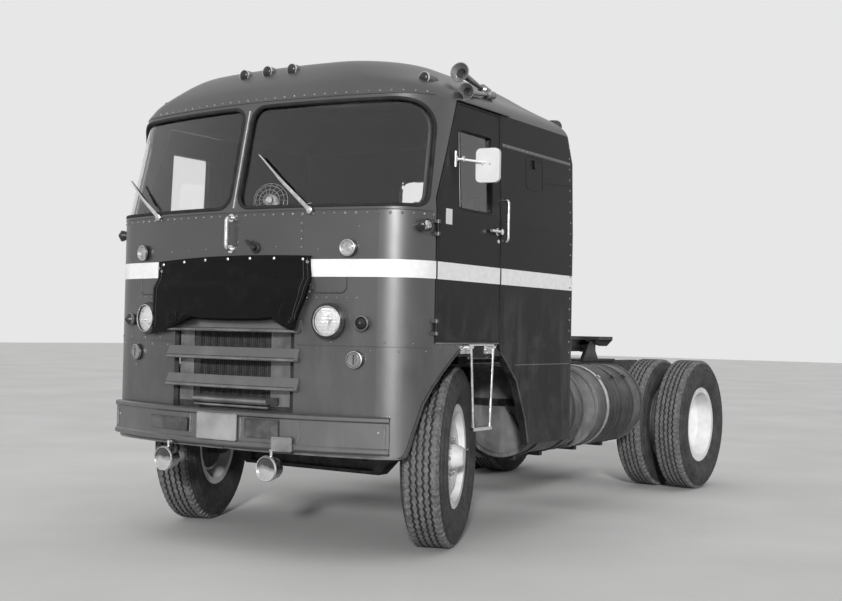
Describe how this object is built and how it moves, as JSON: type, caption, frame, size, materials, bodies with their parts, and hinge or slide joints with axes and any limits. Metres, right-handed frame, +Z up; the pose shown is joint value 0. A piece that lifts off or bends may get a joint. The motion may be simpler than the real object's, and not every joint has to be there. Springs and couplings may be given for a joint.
{
  "type": "cab-over-engine road tractor unit",
  "caption": "Road tractor with a tall round-cornered sleeper cab over its engine, twin rear wheels, side tanks and a fifth wheel for hauling semi-trailers.",
  "frame": {"origin": "on the floor under the middle of the truck's length and width", "axes": "+X to the truck's left, +Y to its rear, +Z up; the nose faces -Y"},
  "size_m": [2.8178, 5.544, 2.952],
  "materials": {
    "body_paint": "gloss enamel, weathered",
    "chassis": "satin black, dusty",
    "wheel_paint": "chalky white enamel",
    "tyre": "ribbed rubber, dusty",
    "engine": "oily cast",
    "radiator": "dull sheet",
    "tank": "weathered grey",
    "bright": "polished, a little dull",
    "lamp": "ribbed glass in dark bezels",
    "canvas": "waxed canvas",
    "glass": "clear safety glass",
    "cab_inside": "painted and rubber-matted",
    "seat": "leathercloth",
    "fifth_wheel": "greased cast steel"
  },
  "bodies": {
    "chassis": {"frame_rails": "chassis", "front_axle": "chassis", "leaf_springs": "chassis", "rear_axle": "chassis", "drive_shaft": "chassis", "engine_block": "engine", "radiator": "radiator", "fuel_tanks": "tank", "bumper": "body_paint", "headlamps": "bright", "marker_lamps": "lamp", "front_panel": "body_paint", "grille_bars": "body_paint", "winter_cover": "canvas", "windshield_frame": "body_paint", "windshield_glass": "glass", "roof": "body_paint", "side_left": "body_paint", "side_right": "body_paint", "rear_wall": "body_paint", "cab_floor": "cab_inside", "steps_and_rails": "bright", "wipers": "bright", "air_horns": "bright", "exhaust_stack": "chassis", "seats": "seat", "dash": "cab_inside", "bunk": "seat", "fifth_wheel_base": "fifth_wheel"},
    "knuckle_left": {"knuckle_left": "chassis"},
    "knuckle_right": {"knuckle_right": "chassis"},
    "wheel_front_left": {"wheel_front_left": "wheel_paint", "tyre_front_left": "tyre"},
    "wheel_front_right": {"wheel_front_right": "wheel_paint", "tyre_front_right": "tyre"},
    "wheels_rear_left": {"wheels_rear_left": "wheel_paint", "tyres_rear_left": "tyre"},
    "wheels_rear_right": {"wheels_rear_right": "wheel_paint", "tyres_rear_right": "tyre"},
    "door_left": {"door_left": "body_paint", "door_glass_left": "glass", "mirror_left": "bright"},
    "door_right": {"door_right": "body_paint", "door_glass_right": "glass", "mirror_right": "bright"},
    "fifth_wheel": {"fifth_wheel_plate": "fifth_wheel"}
  },
  "joints": [
    {"name": "steer_left", "type": "hinge", "parent": "chassis", "child": "knuckle_left", "pos_m": [0.82, -1.797, 0.55], "axis": [0, 0, 1], "range_deg": [-46, 6]},
    {"name": "steer_right", "type": "hinge", "parent": "chassis", "child": "knuckle_right", "pos_m": [-0.82, -1.797, 0.55], "axis": [0, 0, 1], "range_deg": [-46, 6]},
    {"name": "spin_front_left", "type": "hinge", "parent": "knuckle_left", "child": "wheel_front_left", "pos_m": [0.82, -1.797, 0.55], "axis": [0.9397, 0.342, 0], "continuous": true},
    {"name": "spin_front_right", "type": "hinge", "parent": "knuckle_right", "child": "wheel_front_right", "pos_m": [-0.82, -1.797, 0.55], "axis": [0.9397, 0.342, 0], "continuous": true},
    {"name": "spin_rear_left", "type": "hinge", "parent": "chassis", "child": "wheels_rear_left", "pos_m": [0.928, 2.064, 0.55], "axis": [1, 0, 0], "continuous": true},
    {"name": "spin_rear_right", "type": "hinge", "parent": "chassis", "child": "wheels_rear_right", "pos_m": [-0.928, 2.064, 0.55], "axis": [1, 0, 0], "continuous": true},
    {"name": "door_left_hinge", "type": "hinge", "parent": "chassis", "child": "door_left", "pos_m": [1.2055, -2.26, 1.895], "axis": [0, 0, -1], "range_deg": [0, 65]},
    {"name": "door_right_hinge", "type": "hinge", "parent": "chassis", "child": "door_right", "pos_m": [-1.2055, -2.26, 1.895], "axis": [0, 0, 1], "range_deg": [0, 65]},
    {"name": "fifth_wheel_rock", "type": "hinge", "parent": "chassis", "child": "fifth_wheel", "pos_m": [0, 1.604, 1.205], "axis": [1, 0, 0], "range_deg": [-10, 10]}
  ],
  "couplings": [
    {"joint": "steer_right", "follows": "steer_left", "ratio": 1}
  ]
}
